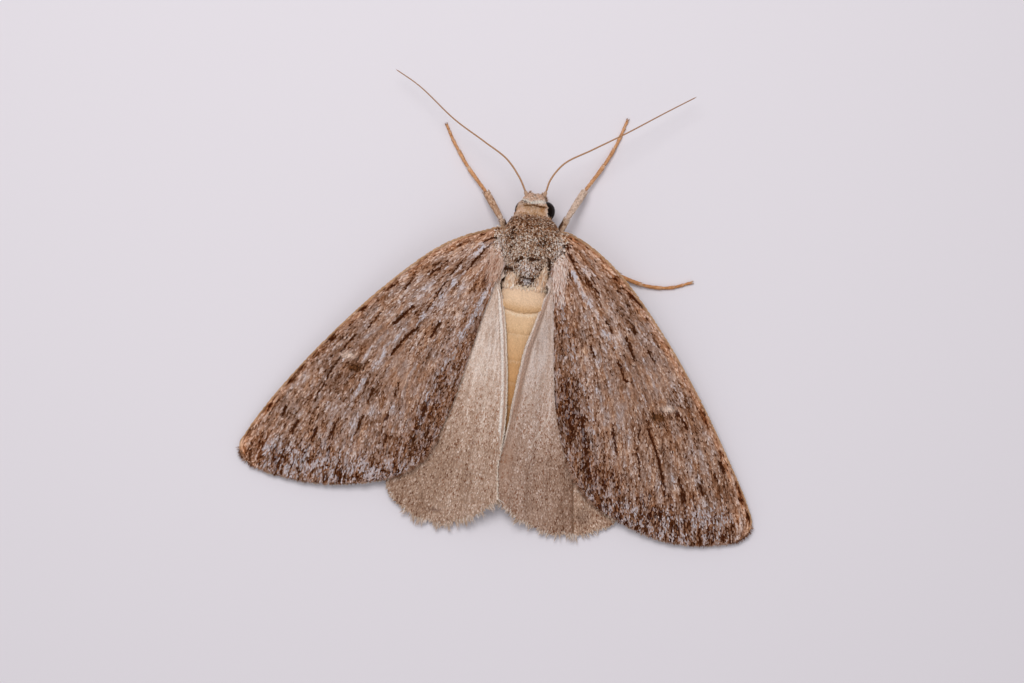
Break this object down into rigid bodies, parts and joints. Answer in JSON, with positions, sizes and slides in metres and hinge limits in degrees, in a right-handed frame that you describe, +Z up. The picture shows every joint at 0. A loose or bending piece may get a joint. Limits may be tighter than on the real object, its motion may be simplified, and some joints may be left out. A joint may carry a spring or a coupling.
{
  "type": "moth",
  "caption": "Life-size still model of a brown geometer moth at rest: forewings spread flat in a wide triangle, pale hindwings beside the abdomen, feelers and forelegs reaching forwards.",
  "frame": {"origin": "middle of the footprint of the whole moth, on the surface it stands on", "axes": "+Z up from that surface, head towards -Y, the moth's left wings towards +X"},
  "size_m": [0.0332, 0.0292, 0.004],
  "materials": {
    "forewing": "overlapping grey-brown, tan and dark brown scales in streaks, matt with a faint silky gloss",
    "hindwing": "pale beige silky scales with fine tan speckles and a long pale fringe",
    "fur": "dense grey-brown hair-like scales flecked with white and black",
    "collar": "cream-orange hair scales in a band behind the head",
    "abdomen": "cream-ochre velvet of short flat scales",
    "eye": "glossy black with a fine honeycomb of facets",
    "leg": "grey-flecked scales above, orange-tan feet with pale joints",
    "antenna": "fine tan thread with darker joints and a pale first segment"
  },
  "bodies": {
    "root": {"abdomen_segment_1": "abdomen", "abdomen_segment_2": "abdomen", "abdomen_segment_3": "abdomen", "abdomen_segment_4": "abdomen", "abdomen_segment_5": "abdomen", "abdomen_segment_6": "abdomen", "abdomen_segment_7": "abdomen", "collar": "collar", "eye_l": "eye", "eye_r": "eye", "femur_fore_l": "leg", "femur_fore_r": "leg", "femur_hind_l": "leg", "femur_hind_r": "leg", "femur_mid_l": "leg", "femur_mid_r": "leg", "flagellum_l": "antenna", "flagellum_r": "antenna", "forewing_l": "forewing", "forewing_r": "forewing", "head": "fur", "hindwing_l": "hindwing", "hindwing_r": "hindwing", "palp_l": "fur", "palp_r": "fur", "proboscis": "antenna", "scape_l": "antenna", "scape_r": "antenna", "tarsus_fore_l": "leg", "tarsus_fore_r": "leg", "tarsus_hind_l": "leg", "tarsus_hind_r": "leg", "tarsus_mid_l": "leg", "tarsus_mid_r": "leg", "tegula_l": "fur", "tegula_r": "fur", "thorax": "fur", "tibia_fore_l": "leg", "tibia_fore_r": "leg", "tibia_hind_l": "leg", "tibia_hind_r": "leg", "tibia_mid_l": "leg", "tibia_mid_r": "leg"}
  },
  "joints": []
}
